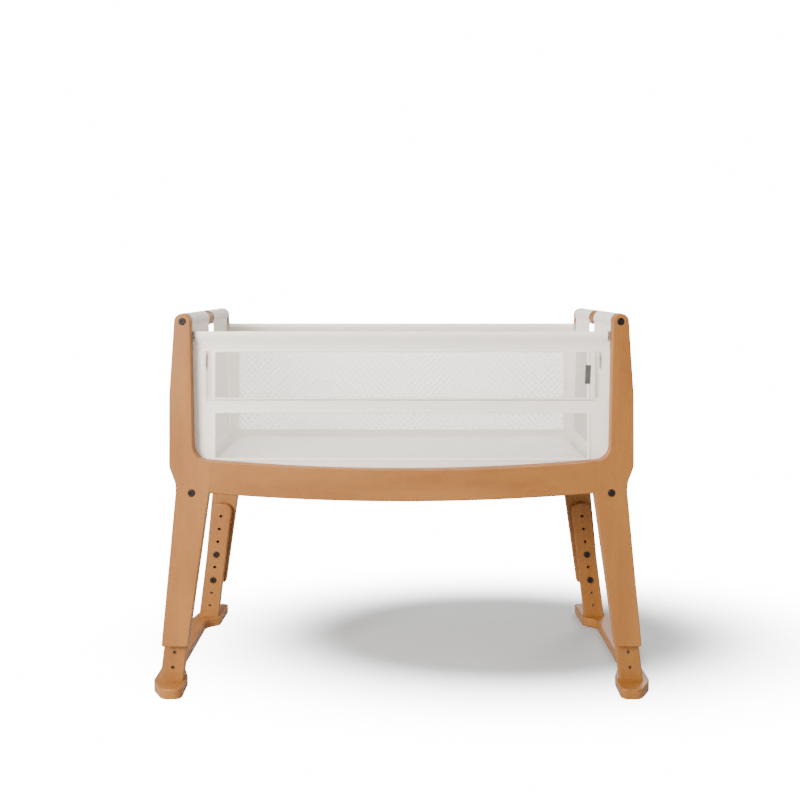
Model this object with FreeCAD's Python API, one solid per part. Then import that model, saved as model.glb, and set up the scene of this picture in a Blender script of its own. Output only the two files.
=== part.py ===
"""Bedside bassinet on a wooden stand.

Millimetres. X runs to the right along the bassinet, Y towards the back, Z up.
The origin is on the floor, at the middle of the length and of the foot runners.
Right-hand pieces are drawn and mirrored for the left, and front pieces are mirrored for the back.
"""
import FreeCAD
import Part
import math
import os

V = FreeCAD.Vector

# ---- stand: overall sizes ----
ROD_X = 426.0             # end rods, from the middle of the length
FRAME_DEPTH = 460.0       # outer face of the front frame to outer face of the rear frame
ROD_Z = 728.0             # axis of the end rods
RAIL_Z = 457.5            # top edge of the rails at their two ends
LEG_END_Z = 96.0          # lower end of the leg posts
KNEE_RISE = 116.0         # from there up to the knee
PLANK = 22.0              # thickness of the leg posts and rails
WOOD_EDGE = 2.5           # rounding of the wooden edges

# ---- rails and their joints with the posts ----
SEAM_INSET = 52.0         # rod axis to the seam between a post and a rail
RAIL_HEIGHT = 63.5        # at the ends
RAIL_TOP_SAG = 17.0
RAIL_BOTTOM_SAG = 16.0
DOWEL_R = 4.0
DOWEL_LENGTH = 36.0
DOWEL_EDGE = 18.0         # dowel axis to the edge of the rail
POST_TOP_R = 15.5
CORNER_R = 28.0           # inner corner between post and rail

# ---- rods between the two frames ----
ROD_R = 14.0              # end rods and lower cross rails
CROSS_INSET = 18.0        # lower cross rails, inwards of the end rods
CROSS_DROP = 62.5         # lower cross rails, below the rail ends

# ---- bolts and inserts ----
BOLT_R = 3.0
BOLT_HOLE_R = 3.4
HEAD_R = 7.0
HEAD_THICK = 3.6
SOCKET_R = 2.5
SOCKET_DEPTH = 2.2
SINK_DEPTH = 2.4          # counterbore for a frame bolt's head
INSERT_R = 5.0
INSERT_LENGTH = 16.0
FIT = 0.02                # radial clearance of dowels, inserts and bolts

# ---- height-adjusting legs and foot runners ----
SPLAY = math.radians(7.0)
FOOT_OUT = 26.0           # leg axis at the runner, outwards of the end rod
EXT_WIDTH = 45.0
EXT_THICK = 20.0
EXT_TOP_R = 17.0
EXT_GAP = 0.3             # leg post to extension leg
HOLE_R = 3.5
HOLE_COUNT = 8
HOLE_PITCH = 30.0         # one step of height
FIRST_HOLE = 26.5         # first hole above the runner, along the leg
TOP_MARGIN = 29.0         # last hole to the top of the leg
BOLTED_HOLES = (3, 5)     # counted from the lowest hole
LEG_INSERT_LENGTH = 13.0
RUNNER_FRONT = 22.0       # runner ahead of the front frame
RUNNER_REAR = 58.0        # runner behind the rear frame
RUNNER_THICK = 20.0
PAD_R = 13.0
PAD_THICK = 2.0
SCREW_R = 2.25
SCREW_HEAD_R = 4.5
SCREW_LENGTH = 48.0
SCREW_SPACING = 24.0

# ---- bassinet fabric ----
FABRIC = 2.0
MESH = 1.0
SEW_GAP = 0.25            # between two sewn pieces
PANEL_GAP = 1.5           # back face of a rail to the fabric panel
SLEEVE_THICK = 1.4
SLEEVE_CLEAR = 0.3
GRIP_WIDTH = 60.0         # bare rod between the two sleeves
GRIP_DROP = 38.0          # rod axis to the bottom of the hand gap
WALL_TOP_INSET = 1.6      # end wall's top, outwards of the end sleeve's inner side
WALL_FOOT_INSET = 8.6     # end wall's foot, inwards of the cross rail's axis
WALL_BORDER = 22.0        # opaque border at each side of the end wall's mesh
WALL_TOP_BORDER = 14.0    # between the hand gap and the mesh
SEAM_GAP = 1.0            # front and rear panels to the end walls and the floor
TUBE_R = 5.0
TUBE_WALL = 1.0
TUBE_DROP = 27.0          # end rod axis to the top tube's axis
TUBE_END_GAP = 1.5        # end of the tube to the inner side of the end sleeve
HEM_THICK = 1.2
HEM_END_GAP = 5.8         # end of the hem to the inner side of the end sleeve
CORNER_GAP = 0.3          # front and rear panels to the same side
HINGE_Z = 572.0           # fold line of the drop panel
BAND_HEIGHT = 22.0        # opaque band below the fold line
TOP_BAND = 38.0           # hem to the upper window
ZIP_X = 382.0
WINDOW_X = 368.0
REAR_WINDOW_X = 384.0
WINDOW_LOW_Z = 456.0
WINDOW_R = 6.0
WINDOW_ABOVE_FOLD = 1.25  # lower edge of the drop panel's window, above the fold line
SLANT_TOP = 20.0          # the panels' ends slant inwards from here, below the top of the rails
SLANT_GAP = 2.0           # lower end of that slant, above the cross sleeves
PANEL_FOOT_Z = 397.0
COIL_WIDTH = 3.2
COIL_THICK = 1.5
COIL_FROM_FOLD = 7.0      # keeps the folding coil clear of the band below

# ---- zip sliders, clips and tag ----
SLIDER = (6.0, 4.4, 11.0)
PULL = (6.0, 1.2, 22.0)
PIN_R = 0.9
PIN_FIT = 0.08
SLIDER_GAP = 0.4          # slider to the coil behind it
EAR_THICK = 0.9
EAR_HEIGHT = 5.0
CLIP_WIDTH = 3.6
CLIP_R = 8.2
CLIP_PLATE = 2.6
TAG = (10.0, 0.8, 37.0)
TAG_X = 361.0
TAG_Z = 605.0

# ---- floor, board and mattress ----
SLING_THICK = 1.6
BOARD_THICK = 5.5
BOARD_GAP = 3.0           # board edge to the sleeves
VENT_R = 9.0
VENT_GRID = (8, 3)
MATTRESS_THICK = 45.0
MATTRESS_SIDE_GAP = 2.0   # mattress to the plane of the top hems
MATTRESS_OVERHANG = 2.0   # mattress beyond the cross sleeves' inner sides, above them
COVER_THICK = 2.0

# ---- places that follow from the sizes above ----
RUNNER_LENGTH = RUNNER_FRONT + FRAME_DEPTH + RUNNER_REAR
FRONT = RUNNER_FRONT - RUNNER_LENGTH / 2
BACK = FRONT + FRAME_DEPTH
MIDDLE = (FRONT + BACK) / 2
RUNNER_TOP = PAD_THICK + RUNNER_THICK
SEAM_X = ROD_X - SEAM_INSET
RAIL_FOOT_Z = RAIL_Z - RAIL_HEIGHT
CROSS_X = ROD_X - CROSS_INSET
CROSS_Z = RAIL_Z - CROSS_DROP
PANEL_Y = FRONT + PLANK + PANEL_GAP + FABRIC / 2
TUBE_Z = ROD_Z - TUBE_DROP
HEM_R = TUBE_R + SLEEVE_CLEAR + HEM_THICK
SLEEVE_R = ROD_R + SLEEVE_CLEAR + SLEEVE_THICK
TUBE_END = ROD_X - SLEEVE_R - TUBE_END_GAP
HEM_END = ROD_X - SLEEVE_R - HEM_END_GAP
CORNER_X = ROD_X - SLEEVE_R - CORNER_GAP
BAND_TOP_Z = TUBE_Z + HEM_R - TOP_BAND
HINGE_Y = PANEL_Y - FABRIC / 2 - 0.2


def leg_x(z):
    """Distance of a leg's axis from the middle, at height z."""
    return ROD_X + FOOT_OUT - (z - RUNNER_TOP) * math.tan(SPLAY)


def along_leg(distance):
    """The point (x, z) of a right leg's axis at a distance above the runner."""
    x = ROD_X + FOOT_OUT - distance * math.sin(SPLAY)
    return x, RUNNER_TOP + distance * math.cos(SPLAY)


def rounded_face(corners, place):
    """A face with corners (a, b, r), each rounded to radius r, put in space by place(a, b)."""
    edges = []
    starts = []
    ends = []
    for i, (a, b, r) in enumerate(corners):
        here = V(a, b, 0)
        before = V(*corners[i - 1][:2], 0) - here
        after = V(*corners[(i + 1) % len(corners)][:2], 0) - here
        before.normalize()
        after.normalize()
        if r == 0:
            starts.append(here)
            ends.append(here)
            continue
        half = before.getAngle(after) / 2
        reach = r / math.tan(half)
        middle = before + after
        middle.normalize()
        centre = here + middle * (r / math.sin(half))
        starts.append(here + before * reach)
        ends.append(here + after * reach)
        points = [starts[-1], centre - middle * r, ends[-1]]
        edges.append(Part.Arc(*[place(p.x, p.y) for p in points]).toShape())
    for i in range(len(corners)):
        first = ends[i - 1]
        last = starts[i]
        edges.append(Part.LineSegment(place(first.x, first.y), place(last.x, last.y)).toShape())
    return Part.Face(Part.Wire(Part.__sortEdges__(edges)))


def upright(y):
    """Places an outline of (x, z) points in the upright plane at y."""
    return lambda a, b: V(a, y, b)


def level(z):
    """Places an outline of (x, y) points in the level plane at z."""
    return lambda a, b: V(a, b, z)


def mirror_x(shape):
    return shape.mirror(V(0, 0, 0), V(1, 0, 0))


def mirror_y(shape):
    return shape.mirror(V(0, MIDDLE, 0), V(0, 1, 0))


def box(x, y, z):
    """A block between two values on each axis."""
    return Part.makeBox(x[1] - x[0], y[1] - y[0], z[1] - z[0], V(x[0], y[0], z[0]))


def cylinder(radius, start, direction, length):
    return Part.makeCylinder(radius, length, V(*start), V(*direction))


def tube(outer, inner, start, direction, length):
    return cylinder(outer, start, direction, length).cut(cylinder(inner, start, direction, length))


def round_rims(solid, axis, low, high, radius, keep=None):
    """Rounds the edges that lie in the two end planes, low and high, on an axis."""
    rims = []
    for edge in solid.Edges:
        bounds = edge.BoundBox
        span = (getattr(bounds, axis + "Min"), getattr(bounds, axis + "Max"))
        flat = any(max(abs(s - face) for s in span) < 1e-4 for face in (low, high))
        if flat and not (keep and keep(bounds)):
            rims.append(edge)
    return solid.makeFillet(radius, rims)


def save(name, shape):
    shape.exportStep("parts/" + name + ".step")


def save_pair(name, right):
    """Writes a right-hand piece and its mirrored left-hand twin."""
    save("right_" + name, right)
    save("left_" + name, mirror_x(right))


def group(shapes):
    return Part.makeCompound(shapes)


def four(shape):
    """The shape at the front right, and its twins at the other three corners."""
    back = mirror_y(shape)
    return group([shape, mirror_x(shape), back, mirror_x(back)])


# ---- bolts, inserts and holes ----

def bolt(place, towards, shank_length):
    """A socket-head bolt: place is under the head, towards is the way its tip points, +1 or -1."""
    x, y, z = place
    head = cylinder(HEAD_R, place, (0, -towards, 0), HEAD_THICK)
    top = y - towards * HEAD_THICK
    head = round_rims(head, "Y", top, top, HEAD_THICK / 3)
    socket = cylinder(SOCKET_R, (x, top, z), (0, towards, 0), SOCKET_DEPTH)
    shank = cylinder(BOLT_R, place, (0, towards, 0), shank_length)
    return head.cut(socket).fuse(shank)


def rod_insert(x, z):
    """The threaded insert in the front end of a wooden rod."""
    return tube(INSERT_R - FIT, BOLT_R + FIT, (x, FRONT + PLANK, z), (0, 1, 0), INSERT_LENGTH)


def frame_bolt(x, z):
    """The bolt through a front post into the end of a rod."""
    under_head = FRONT + SINK_DEPTH
    return bolt((x, under_head, z), 1, PLANK - SINK_DEPTH + INSERT_LENGTH - FIT)


def leg_bolt_places():
    """Where the bolts cross the legs: (x, z) of each bolted hole."""
    return [along_leg(FIRST_HOLE + (number - 1) * HOLE_PITCH) for number in BOLTED_HOLES]


# ---- wooden stand ----

def leg_post():
    """The front right leg post, with its holes."""
    top = ROD_Z + POST_TOP_R
    turn = POST_TOP_R - 0.05
    knee_z = LEG_END_Z + KNEE_RISE
    corners = [
        (ROD_X + POST_TOP_R, top, turn),
        (ROD_X + 25.7, RAIL_Z + 0.47 * (ROD_Z - RAIL_Z), 400),
        (ROD_X + 26.0, RAIL_Z - 12.5, 45),
        (ROD_X + 13.6, RAIL_Z - 43.5, 45),
        (ROD_X + 13.3, RAIL_FOOT_Z + 2, 60),
        (leg_x(LEG_END_Z) + 24.0, LEG_END_Z, 4),
        (leg_x(LEG_END_Z) - 27.5, LEG_END_Z, 4),
        (leg_x(knee_z) - 29.2, knee_z, 500),
        (SEAM_X, RAIL_FOOT_Z, 0),
        (SEAM_X, RAIL_Z, 0),
        (ROD_X - 21.0, RAIL_Z + 2.8, CORNER_R),
        (ROD_X - POST_TOP_R, top, turn),
    ]
    post = rounded_face(corners, upright(FRONT)).extrude(V(0, PLANK, 0))
    post = round_rims(post, "Y", FRONT, FRONT + PLANK, WOOD_EDGE, on_seam)
    for x, z in ((ROD_X, ROD_Z), (CROSS_X, CROSS_Z)):
        post = post.cut(cylinder(BOLT_HOLE_R, (x, FRONT, z), (0, 1, 0), PLANK))
        post = post.cut(cylinder(HEAD_R + 0.5, (x, FRONT, z), (0, 1, 0), SINK_DEPTH))
    for x, z in leg_bolt_places():
        inner = (x, FRONT + PLANK, z)
        post = post.cut(cylinder(INSERT_R, inner, (0, -1, 0), LEG_INSERT_LENGTH))
    return post.cut(group(dowels(DOWEL_R)))


def on_seam(bounds):
    """Tells whether an edge lies in the seam between a rail and a post."""
    return bounds.XLength < 1e-4 and abs(abs(bounds.XMin) - SEAM_X) < 1e-4


def dowels(radius):
    """The two dowels across the front right seam."""
    start = SEAM_X - DOWEL_LENGTH / 2
    heights = (RAIL_FOOT_Z + DOWEL_EDGE, RAIL_Z - DOWEL_EDGE)
    y = FRONT + PLANK / 2
    return [cylinder(radius, (start, y, z), (1, 0, 0), DOWEL_LENGTH) for z in heights]


def rail():
    """The front rail: both long edges sag in an arc between the posts."""
    place = upright(FRONT)
    top = Part.Arc(place(-SEAM_X, RAIL_Z), place(0, RAIL_Z - RAIL_TOP_SAG), place(SEAM_X, RAIL_Z))
    foot_middle = place(0, RAIL_FOOT_Z - RAIL_BOTTOM_SAG)
    foot = Part.Arc(place(SEAM_X, RAIL_FOOT_Z), foot_middle, place(-SEAM_X, RAIL_FOOT_Z))
    right = Part.LineSegment(place(SEAM_X, RAIL_Z), place(SEAM_X, RAIL_FOOT_Z))
    left = Part.LineSegment(place(-SEAM_X, RAIL_FOOT_Z), place(-SEAM_X, RAIL_Z))
    wire = Part.Wire([edge.toShape() for edge in (top, right, foot, left)])
    solid = Part.Face(wire).extrude(V(0, PLANK, 0))
    solid = round_rims(solid, "Y", FRONT, FRONT + PLANK, WOOD_EDGE, on_seam)
    pins = group(dowels(DOWEL_R))
    return solid.cut(pins).cut(mirror_x(pins))


def rod(x, z):
    """A wooden rod between the two frames, bored for its inserts."""
    start = FRONT + PLANK
    length = FRAME_DEPTH - 2 * PLANK
    solid = cylinder(ROD_R, (x, start, z), (0, 1, 0), length)
    bore = cylinder(INSERT_R, (x, start, z), (0, 1, 0), INSERT_LENGTH)
    return solid.cut(bore).cut(mirror_y(bore))


def make_stand():
    post = leg_post()
    front_rail = rail()
    save_pair("front_post", post)
    save_pair("rear_post", mirror_y(post))
    save("front_rail", front_rail)
    save("rear_rail", mirror_y(front_rail))
    save("rail_dowels", group([four(pin) for pin in dowels(DOWEL_R - FIT)]))
    save_pair("end_rod", rod(ROD_X, ROD_Z))
    save_pair("cross_rail", rod(CROSS_X, CROSS_Z))
    save("rod_inserts", group([four(rod_insert(ROD_X, ROD_Z)), four(rod_insert(CROSS_X, CROSS_Z))]))
    save("end_rod_bolts", four(frame_bolt(ROD_X, ROD_Z)))
    save("cross_rail_bolts", four(frame_bolt(CROSS_X, CROSS_Z)))


# ---- legs that set the height, and foot runners ----

def extension_leg():
    """The front right extension leg, with its row of holes, standing on the runner."""
    length = FIRST_HOLE + (HOLE_COUNT - 1) * HOLE_PITCH + TOP_MARGIN
    half = EXT_WIDTH / 2
    foot_half = half / math.cos(SPLAY)
    top_x, top_z = along_leg(length)
    across = (half * math.cos(SPLAY), half * math.sin(SPLAY))
    corners = [
        (leg_x(RUNNER_TOP) - foot_half, RUNNER_TOP, 0),
        (leg_x(RUNNER_TOP) + foot_half, RUNNER_TOP, 0),
        (top_x + across[0], top_z + across[1], EXT_TOP_R),
        (top_x - across[0], top_z - across[1], EXT_TOP_R),
    ]
    start = FRONT + PLANK + EXT_GAP
    leg = rounded_face(corners, upright(start)).extrude(V(0, EXT_THICK, 0))
    leg = round_rims(leg, "Y", start, start + EXT_THICK, WOOD_EDGE, at_runner)
    for number in range(HOLE_COUNT):
        x, z = along_leg(FIRST_HOLE + number * HOLE_PITCH)
        leg = leg.cut(cylinder(HOLE_R, (x, start, z), (0, 1, 0), EXT_THICK))
    for screw in leg_screws(SCREW_R):
        leg = leg.cut(screw)
    return leg


def at_runner(bounds):
    """Tells whether an edge lies where a leg stands on its runner."""
    return bounds.ZMax < RUNNER_TOP + 1e-4


def leg_screws(radius):
    """The two countersunk screws that come up through the runner into the front right leg."""
    y = FRONT + PLANK + EXT_GAP + EXT_THICK / 2
    middle = leg_x(RUNNER_TOP + SCREW_LENGTH / 2)
    screws = []
    for x in (middle - SCREW_SPACING / 2, middle + SCREW_SPACING / 2):
        base = V(x, y, PAD_THICK)
        taper = SCREW_HEAD_R - SCREW_R
        head = Part.makeCone(radius + taper, radius, taper, base)
        screws.append(Part.makeCylinder(radius, SCREW_LENGTH, base).fuse(head))
    return screws


def runner_corners():
    """Plan of the right foot runner: a pad under each leg, and a narrow middle set outwards."""
    front = -RUNNER_LENGTH / 2
    back = RUNNER_LENGTH / 2
    front_leg = FRONT + PLANK + EXT_GAP
    back_leg = BACK - PLANK - EXT_GAP
    axis = leg_x(RUNNER_TOP)
    inner = axis - EXT_WIDTH / 2 - 6.0
    outer = axis + 36.5
    waist = axis + 0.5
    return [
        (inner - 1, front, 14),
        (axis + 10, front, 20),
        (outer, front + 47, 60),
        (outer, back - 108, 140),
        (axis + 26, back - 54, 60),
        (axis + 4, back, 22),
        (inner - 3, back, 12),
        (inner, back_leg - EXT_THICK - 3, 10),
        (waist, back_leg - EXT_THICK - 24, 26),
        (waist, front_leg + EXT_THICK + 92, 60),
        (inner + 1, front_leg + EXT_THICK + 8, 24),
    ]


def runner():
    """The right foot runner, screwed up into its two legs."""
    solid = rounded_face(runner_corners(), level(PAD_THICK)).extrude(V(0, 0, RUNNER_THICK))
    solid = round_rims(solid, "Z", PAD_THICK, RUNNER_TOP, WOOD_EDGE)
    for screw in leg_screws(SCREW_R):
        solid = solid.cut(screw).cut(mirror_y(screw))
    return solid


def floor_pads():
    """Felt pads under the front pad, the waist and the rear pad of the right runner."""
    axis = leg_x(RUNNER_TOP)
    front_y = FRONT + PLANK / 2
    places = ((axis, front_y - PAD_R), (axis + 19, MIDDLE), (axis - 4, BACK + PAD_R))
    return group([cylinder(PAD_R, (x, y, 0), (0, 0, 1), PAD_THICK) for x, y in places])


def make_legs():
    leg = extension_leg()
    screws = leg_screws(SCREW_R - FIT)
    save_pair("front_extension_leg", leg)
    save_pair("rear_extension_leg", mirror_y(leg))
    save_pair("foot_runner", runner())
    save_pair("runner_screws", group(screws + [mirror_y(screw) for screw in screws]))
    save_pair("floor_pads", floor_pads())
    inner_face = FRONT + PLANK
    head_seat = inner_face + EXT_GAP + EXT_THICK + EXT_GAP
    reach = head_seat - inner_face + LEG_INSERT_LENGTH - FIT
    bolts = []
    inserts = []
    for x, z in leg_bolt_places():
        front_bolt = bolt((x, head_seat, z), -1, reach)
        bolts += [front_bolt, mirror_y(front_bolt)]
        place = (x, inner_face, z)
        inserts.append(four(tube(INSERT_R - FIT, BOLT_R + FIT, place, (0, -1, 0), LEG_INSERT_LENGTH)))
    save_pair("leg_bolts", group(bolts))
    save("leg_inserts", group(inserts))


# ---- fabric walls of the bassinet ----

def sheet(corners, thick):
    """A panel of fabric in the front plane, centred on it."""
    start = PANEL_Y - thick / 2
    return rounded_face(corners, upright(start)).extrude(V(0, thick, 0))


def window(low, high, trim=0.0, reach=WINDOW_X):
    """Corners of a window of a panel, made smaller all round by trim."""
    half = reach - trim
    bottom = low + trim
    top = high - trim
    r = WINDOW_R - trim
    return [(half, top, r), (half, bottom, r), (-half, bottom, r), (-half, top, r)]


def pane(low, high, reach=WINDOW_X):
    """The mesh sewn into a window."""
    return sheet(window(low, high, SEW_GAP, reach), MESH)


def hem():
    """The hem that holds the front top tube."""
    half = HEM_END
    return tube(HEM_R, TUBE_R + SLEEVE_CLEAR, (-half, PANEL_Y, TUBE_Z), (1, 0, 0), 2 * half)


def hemmed(panel):
    """A panel with the front hem along its top."""
    half = HEM_END
    channel = cylinder(TUBE_R + SLEEVE_CLEAR, (-half, PANEL_Y, TUBE_Z), (1, 0, 0), 2 * half)
    return panel.cut(channel).fuse(hem()).removeSplitter()


def top_tube():
    """The aluminium tube in the front hem."""
    half = TUBE_END
    return tube(TUBE_R, TUBE_R - TUBE_WALL, (-half, PANEL_Y, TUBE_Z), (1, 0, 0), 2 * half)


def coil(side):
    """One side of the right zip: side is -1 towards the drop panel, +1 towards the corner."""
    near = ZIP_X + side * SEW_GAP
    far = near + side * COIL_WIDTH
    face = PANEL_Y - FABRIC / 2
    low = HINGE_Z + COIL_FROM_FOLD
    return box(sorted((near, far)), (face - COIL_THICK, face), (low, BAND_TOP_Z - SEW_GAP))


def drop_panel():
    """The front panel that unzips and folds down, without its mesh."""
    low = HINGE_Z + SEW_GAP
    narrow = ZIP_X - SEW_GAP
    wide = HEM_END
    corners = [
        (-narrow, low, 0),
        (narrow, low, 0),
        (narrow, BAND_TOP_Z, 0),
        (wide, BAND_TOP_Z, 0),
        (wide, TUBE_Z, 0),
        (-wide, TUBE_Z, 0),
        (-wide, BAND_TOP_Z, 0),
        (-narrow, BAND_TOP_Z, 0),
    ]
    panel = sheet(corners, FABRIC)
    panel = panel.cut(sheet(window(HINGE_Z + WINDOW_ABOVE_FOLD, BAND_TOP_Z), FABRIC))
    return hemmed(panel)


def panel_foot_corners(top):
    """The lower part of an end-to-end panel, narrower where the cross rails pass."""
    clear = CROSS_X - SLEEVE_R - BOARD_GAP
    slant_foot = CROSS_Z + SLEEVE_R + SLANT_GAP
    half = CORNER_X
    return [
        (-half, top, 0),
        (-half, RAIL_Z - SLANT_TOP, 0),
        (-clear, slant_foot, 0),
        (-clear, PANEL_FOOT_Z, 0),
        (clear, PANEL_FOOT_Z, 0),
        (clear, slant_foot, 0),
        (half, RAIL_Z - SLANT_TOP, 0),
        (half, top, 0),
    ]


def lower_panel():
    """The fixed part of the front panel, without its mesh."""
    panel = sheet(panel_foot_corners(HINGE_Z), FABRIC)
    return panel.cut(sheet(window(WINDOW_LOW_Z, HINGE_Z - BAND_HEIGHT), FABRIC))


def corner_panel():
    """The fixed strip between the right zip and the right post."""
    low = HINGE_Z + SEW_GAP
    high = BAND_TOP_Z - SEW_GAP
    start = PANEL_Y - FABRIC / 2
    outer = CORNER_X
    return box((ZIP_X + SEW_GAP, outer), (start, start + FABRIC), (low, high))


def rear_panel():
    """The rear panel, drawn at the front: one piece from floor to hem, with one tall window."""
    corners = panel_foot_corners(BAND_TOP_Z)
    wide = HEM_END
    corners[:0] = [(wide, BAND_TOP_Z, 0), (wide, TUBE_Z, 0), (-wide, TUBE_Z, 0), (-wide, BAND_TOP_Z, 0)]
    panel = sheet(corners, FABRIC)
    panel = panel.cut(sheet(window(WINDOW_LOW_Z, BAND_TOP_Z, 0, REAR_WINDOW_X), FABRIC))
    return hemmed(panel)


def end_wall_shape(thick):
    """The right end wall's full sheet, leaning inwards from the end rod to the cross rail."""
    top_in = SLEEVE_R - WALL_TOP_INSET
    foot_in = WALL_FOOT_INSET
    top_x = ROD_X - top_in
    foot_x = CROSS_X - foot_in
    top_z = ROD_Z - math.sqrt(SLEEVE_R ** 2 - top_in ** 2) - thick - SEW_GAP
    foot_z = CROSS_Z + math.sqrt(SLEEVE_R ** 2 - foot_in ** 2) + thick
    half = thick / 2
    start = PANEL_Y + FABRIC / 2 + SEAM_GAP
    corners = [
        (top_x + half, top_z, 0),
        (top_x - half, top_z, 0),
        (foot_x - half, foot_z, 0),
        (foot_x + half, foot_z, 0),
    ]
    return rounded_face(corners, upright(start)).extrude(V(0, 2 * (MIDDLE - start), 0))


def wall_reach():
    """From inside to outside of the right end wall, for a cut right through it."""
    return CROSS_X - WALL_FOOT_INSET - ROD_R, ROD_X + ROD_R


def end_window(trim):
    """A block through the right end wall where its mesh is."""
    start = PANEL_Y + WALL_BORDER + trim
    top = ROD_Z - GRIP_DROP - WALL_TOP_BORDER
    return box(wall_reach(), (start, 2 * MIDDLE - start), (RAIL_Z + trim, top - trim))


def end_wall():
    """The right end wall with its hand gap, without its mesh."""
    half = GRIP_WIDTH / 2
    gap = box(wall_reach(), (MIDDLE - half, MIDDLE + half), (ROD_Z - GRIP_DROP, ROD_Z))
    return end_wall_shape(SLEEVE_THICK).cut(gap).cut(end_window(0))


def end_mesh():
    return end_wall_shape(MESH).common(end_window(SEW_GAP))


def rod_sleeves():
    """The two fabric sleeves on the right end rod, either side of the hand gap."""
    start = FRONT + PLANK + 1
    length = MIDDLE - GRIP_WIDTH / 2 - start
    sleeve = tube(SLEEVE_R, ROD_R + SLEEVE_CLEAR, (ROD_X, start, ROD_Z), (0, 1, 0), length)
    return group([sleeve, mirror_y(sleeve)])


def cross_sleeve():
    """The fabric sleeve on the right cross rail."""
    start = PANEL_Y + FABRIC / 2 + SEAM_GAP
    place = (CROSS_X, start, CROSS_Z)
    return tube(SLEEVE_R, ROD_R + SLEEVE_CLEAR, place, (0, 1, 0), 2 * (MIDDLE - start))


def floor_sling():
    """The fabric floor between the two cross sleeves."""
    half = CROSS_X - SLEEVE_R - SEW_GAP
    start = PANEL_Y + FABRIC / 2 + SEAM_GAP
    return box((-half, half), (start, 2 * MIDDLE - start), (CROSS_Z + 1, CROSS_Z + 1 + SLING_THICK))


# ---- zip sliders, clips and tag ----

def slider():
    """The right zip slider: a body over the corner's coil, with two ears and a pin."""
    face = PANEL_Y - FABRIC / 2 - COIL_THICK - SLIDER_GAP
    left = ZIP_X + 2 * SEW_GAP
    top = BAND_TOP_Z - 2
    low = top - SLIDER[2]
    front = face - SLIDER[1] - PIN_R
    body = box((left, left + SLIDER[0]), (face - SLIDER[1] / 2, face), (low, top))
    for x in (left, left + SLIDER[0] - EAR_THICK):
        body = body.fuse(box((x, x + EAR_THICK), (front, face), (low, low + EAR_HEIGHT)))
    return body.fuse(cylinder(PIN_R, slider_pin(), (1, 0, 0), SLIDER[0]))


def slider_pin():
    """One end of the pin that the pull hangs on."""
    y = PANEL_Y - FABRIC / 2 - COIL_THICK - SLIDER_GAP - SLIDER[1]
    return ZIP_X + 2 * SEW_GAP, y, BAND_TOP_Z - 2 - SLIDER[2] + EAR_HEIGHT / 2


def zip_pull():
    """The tab that hangs from the right slider."""
    x, y, z = slider_pin()
    width = SLIDER[0] - 2 * EAR_THICK - 0.6
    left = x + EAR_THICK + 0.3
    eye = PIN_R + 0.9
    tab = box((left, left + width), (y - PULL[1] / 2, y + PULL[1] / 2), (z - PULL[2], z))
    tab = tab.fuse(cylinder(eye, (left, y, z), (1, 0, 0), width))
    return tab.cut(cylinder(PIN_R + PIN_FIT, (left, y, z), (1, 0, 0), width))


def tube_clip():
    """The front right clip: a hook open to the front, on a plate behind the post."""
    start = HEM_END + 0.5
    reach = TUBE_END + 0.4
    hook = cylinder(CLIP_R, (start, PANEL_Y, TUBE_Z), (1, 0, 0), CLIP_WIDTH)
    face = FRONT + PLANK
    half = CLIP_R
    arm = box((start, ROD_X - 3), (face + 0.1, face + 0.1 + CLIP_PLATE), (TUBE_Z - half, TUBE_Z + half))
    arm = arm.fuse(box((start, start + CLIP_WIDTH), (face, PANEL_Y + CLIP_R), (TUBE_Z - half, TUBE_Z + half)))
    clip = hook.fuse(arm)
    bore = TUBE_R + SLEEVE_CLEAR
    clip = clip.cut(cylinder(bore, (start - 1, PANEL_Y, TUBE_Z), (1, 0, 0), reach - start + 1))
    mouth = box((start - 1, reach), (PANEL_Y - 2 * CLIP_R, PANEL_Y), (TUBE_Z - bore, TUBE_Z + bore))
    return clip.cut(mouth)


def tag():
    """A small blank woven tag at the right side of the drop panel."""
    face = PANEL_Y - FABRIC / 2
    return box((TAG_X, TAG_X + TAG[0]), (face - TAG[1], face), (TAG_Z, TAG_Z + TAG[2]))


def make_bassinet():
    low = (WINDOW_LOW_Z, HINGE_Z - BAND_HEIGHT)
    high = (HINGE_Z + WINDOW_ABOVE_FOLD, BAND_TOP_Z)
    save("drop_panel", drop_panel())
    save("drop_panel_mesh", pane(*high))
    save("front_top_tube", top_tube())
    save("drop_panel_coils", group([coil(-1), mirror_x(coil(-1))]))
    save("blank_tag", tag())
    save("front_lower_panel", lower_panel())
    save("front_lower_mesh", pane(*low))
    save_pair("corner_panel", corner_panel())
    save_pair("corner_coil", coil(1))
    save_pair("zip_slider", slider())
    save_pair("zip_pull", zip_pull())
    save("rear_panel", mirror_y(rear_panel()))
    save("rear_mesh", mirror_y(pane(WINDOW_LOW_Z, BAND_TOP_Z, REAR_WINDOW_X)))
    save("rear_top_tube", mirror_y(top_tube()))
    save("tube_clips", four(tube_clip()))
    save_pair("end_wall", end_wall())
    save_pair("end_mesh", end_mesh())
    save_pair("rod_sleeves", rod_sleeves())
    save("cross_rail_sleeves", group([cross_sleeve(), mirror_x(cross_sleeve())]))
    save("floor_sling", floor_sling())


# ---- board and mattress ----

def level_block(half_x, half_y, low, thick, corner):
    """A flat block with rounded corners, centred between the two frames."""
    corners = [
        (half_x, MIDDLE + half_y, corner),
        (half_x, MIDDLE - half_y, corner),
        (-half_x, MIDDLE - half_y, corner),
        (-half_x, MIDDLE + half_y, corner),
    ]
    return rounded_face(corners, level(low)).extrude(V(0, 0, thick))


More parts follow.
